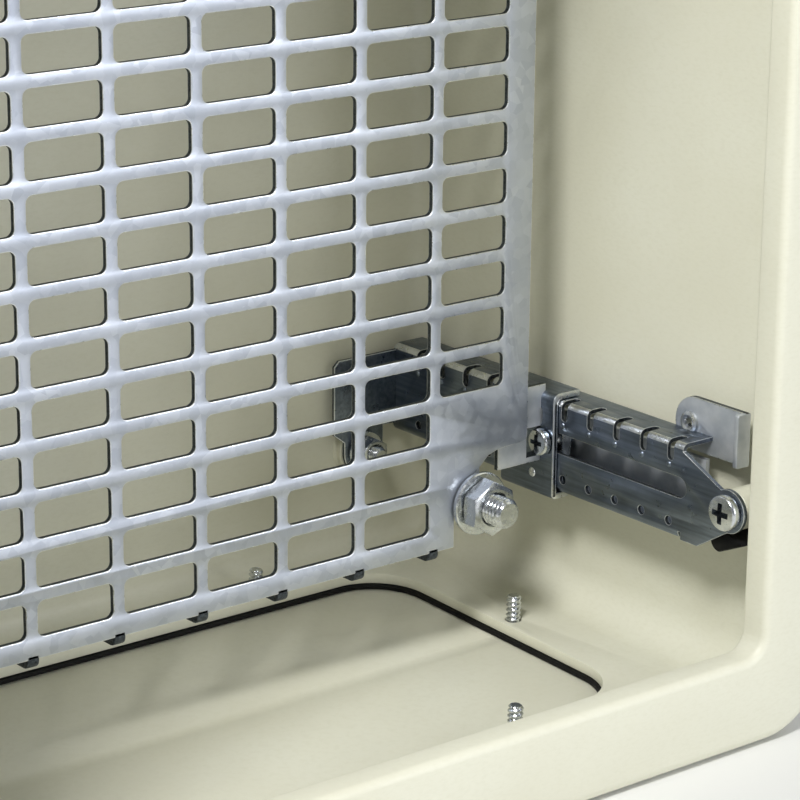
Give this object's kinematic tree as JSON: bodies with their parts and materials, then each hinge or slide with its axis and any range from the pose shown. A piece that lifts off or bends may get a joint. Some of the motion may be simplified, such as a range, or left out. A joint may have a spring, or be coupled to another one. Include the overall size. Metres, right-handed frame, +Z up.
{
  "type": "wall enclosure with adjustable perforated mounting plate",
  "caption": "Moulded wall enclosure, open at the front, with a slotted steel mounting plate that slides in depth on notched side slides.",
  "frame": {"origin": "middle of the bottom of the bounding box", "axes": "+Z up; -Y is the open front, +Y the back wall that lies against the building; +X is the right-hand side seen from the front"},
  "size_m": [0.339, 0.19, 0.43],
  "materials": {
    "polyester": "beige glass-reinforced polyester, smooth moulded, satin",
    "galvanised_sheet": "galvanised sheet steel, dull with a faint spangle",
    "slide_steel": "bright-zinc pressed sheet steel, darker reflections",
    "zinc_plate": "bright zinc-plated fasteners",
    "black_rubber": "black rubber, matt"
  },
  "bodies": {
    "enclosure": {"enclosure_body": "polyester", "gland_plate": "polyester", "gland_gasket": "black_rubber", "gland_screw_1": "zinc_plate", "gland_screw_2": "zinc_plate", "gland_screw_3": "zinc_plate", "gland_screw_4": "zinc_plate", "gland_screw_5": "zinc_plate", "gland_screw_6": "zinc_plate", "slide_right_lower": "slide_steel", "front_screw_right_lower": "zinc_plate", "rear_stud_right_lower": "zinc_plate", "rear_washer_right_lower": "zinc_plate", "rear_nut_right_lower": "zinc_plate", "nose_plug_right_lower": "black_rubber", "slide_left_lower": "slide_steel", "front_screw_left_lower": "zinc_plate", "rear_stud_left_lower": "zinc_plate", "rear_washer_left_lower": "zinc_plate", "rear_nut_left_lower": "zinc_plate", "nose_plug_left_lower": "black_rubber", "slide_right_upper": "slide_steel", "front_screw_right_upper": "zinc_plate", "rear_stud_right_upper": "zinc_plate", "rear_washer_right_upper": "zinc_plate", "rear_nut_right_upper": "zinc_plate", "nose_plug_right_upper": "black_rubber", "slide_left_upper": "slide_steel", "front_screw_left_upper": "zinc_plate", "rear_stud_left_upper": "zinc_plate", "rear_washer_left_upper": "zinc_plate", "rear_nut_left_upper": "zinc_plate", "nose_plug_left_upper": "black_rubber"},
    "plate_carrier": {"mounting_plate": "galvanised_sheet", "carriage_right_lower": "galvanised_sheet", "clamp_screw_right_lower": "zinc_plate", "clamp_nut_right_lower": "zinc_plate", "plate_stud_right_lower": "zinc_plate", "plate_washer_right_lower": "zinc_plate", "plate_nut_right_lower": "zinc_plate", "carriage_left_lower": "galvanised_sheet", "clamp_screw_left_lower": "zinc_plate", "clamp_nut_left_lower": "zinc_plate", "plate_stud_left_lower": "zinc_plate", "plate_washer_left_lower": "zinc_plate", "plate_nut_left_lower": "zinc_plate", "carriage_right_upper": "galvanised_sheet", "clamp_screw_right_upper": "zinc_plate", "clamp_nut_right_upper": "zinc_plate", "plate_stud_right_upper": "zinc_plate", "plate_washer_right_upper": "zinc_plate", "plate_nut_right_upper": "zinc_plate", "carriage_left_upper": "galvanised_sheet", "clamp_screw_left_upper": "zinc_plate", "clamp_nut_left_upper": "zinc_plate", "plate_stud_left_upper": "zinc_plate", "plate_washer_left_upper": "zinc_plate", "plate_nut_left_upper": "zinc_plate"}
  },
  "joints": [
    {"name": "plate_depth", "type": "slide", "parent": "enclosure", "child": "plate_carrier", "axis": [0, -1, 0], "range_m": [-0.0375, 0.05]}
  ]
}
